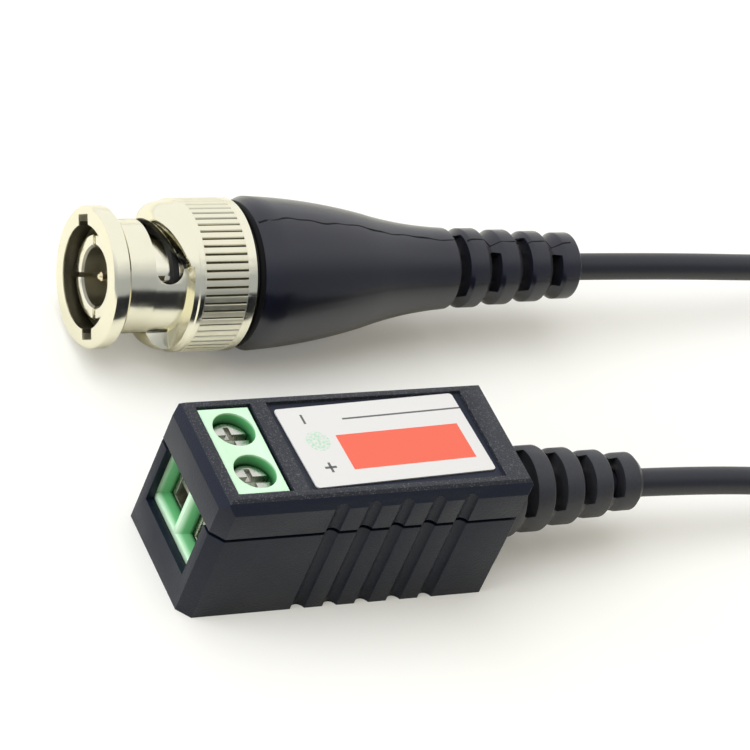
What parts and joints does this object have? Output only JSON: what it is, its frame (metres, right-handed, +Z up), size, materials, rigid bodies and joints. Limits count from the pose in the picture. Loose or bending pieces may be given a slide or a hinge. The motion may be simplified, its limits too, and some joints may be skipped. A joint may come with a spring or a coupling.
{
  "type": "video balun",
  "caption": "Passive video balun: black case with a green screw terminal block at one end and a short coaxial pigtail with ringed strain reliefs and a bayonet plug at the other.",
  "frame": {"origin": "centre of the case's bottom face, on the table", "axes": "+X along the case from the terminals to the cable exit, +Y back across the case, +Z up"},
  "size_m": [0.1264, 0.0427, 0.0146],
  "materials": {
    "shell": "fine matt grain",
    "label": "printed matt film",
    "terminal": "satin",
    "screw": "nickel-plated, satin",
    "cage": "nickel-plated, dull",
    "contact": "tinned, dull",
    "board": "solder mask",
    "ferrite": "sintered",
    "winding": "enamelled copper",
    "electronic": "moulded",
    "capacitor": "ceramic",
    "sleeve": "moulded soft plastic",
    "jacket": "satin extruded",
    "nickel": "nickel-plated, polished",
    "insulator": "waxy white",
    "gold": "gold-plated",
    "gasket": "matt",
    "spring": "spring steel",
    "lead_insulation": "clear white"
  },
  "bodies": {
    "case": {"lower_shell": "shell", "upper_shell": "shell", "label_sticker": "label", "terminal_block": "terminal", "contact_bar_1": "contact", "contact_bar_2": "contact", "circuit_board": "board", "balun_core": "ferrite", "balun_winding": "winding", "surge_suppressor": "electronic", "coupling_capacitor": "capacitor", "case_strain_relief": "sleeve", "coax_cable": "jacket", "coax_core_lead": "lead_insulation", "coax_shield_lead": "contact", "coax_core": "insulator", "plug_body": "nickel", "front_insulator": "insulator", "centre_pin": "gold", "mating_gasket": "gasket", "wave_washer": "spring", "retaining_ring": "spring", "crimp_ferrule": "nickel", "plug_boot": "sleeve"},
    "screw_1": {"terminal_screw_1": "screw"},
    "cage_1": {"clamp_cage_1": "cage"},
    "screw_2": {"terminal_screw_2": "screw"},
    "cage_2": {"clamp_cage_2": "cage"},
    "nut_float": {"thrust_washer": "spring"},
    "nut": {"coupling_nut": "nickel"}
  },
  "joints": [
    {"name": "cage_1_rise", "type": "slide", "parent": "case", "child": "cage_1", "axis": [0, 0, 1], "range_m": [0, 0.0016]},
    {"name": "screw_1_turn", "type": "hinge", "parent": "case", "child": "screw_1", "pos_m": [-0.0115, -0.00254, 0.0113], "axis": [0, 0, -1], "range_deg": [0, 1153]},
    {"name": "cage_2_rise", "type": "slide", "parent": "case", "child": "cage_2", "axis": [0, 0, 1], "range_m": [0, 0.0016]},
    {"name": "screw_2_turn", "type": "hinge", "parent": "case", "child": "screw_2", "pos_m": [-0.0115, 0.00254, 0.0113], "axis": [0, 0, -1], "range_deg": [0, 1153]},
    {"name": "nut_float_slide", "type": "slide", "parent": "case", "child": "nut_float", "axis": [0.9998, -0.0218, 0], "range_m": [-0.0006, 0], "stiffness_N_per_m": 2000, "springref_m": 0.0003, "deforming": ["wave_washer"]},
    {"name": "nut_turn", "type": "hinge", "parent": "nut_float", "child": "nut", "pos_m": [-0.01405, 0.0289, 0.0073], "axis": [0.9998, -0.0218, 0], "continuous": true}
  ],
  "couplings": [
    {"joint": "screw_1_turn", "follows": "cage_1_rise", "rad_per_m": 12566},
    {"joint": "screw_2_turn", "follows": "cage_2_rise", "rad_per_m": 12566}
  ]
}
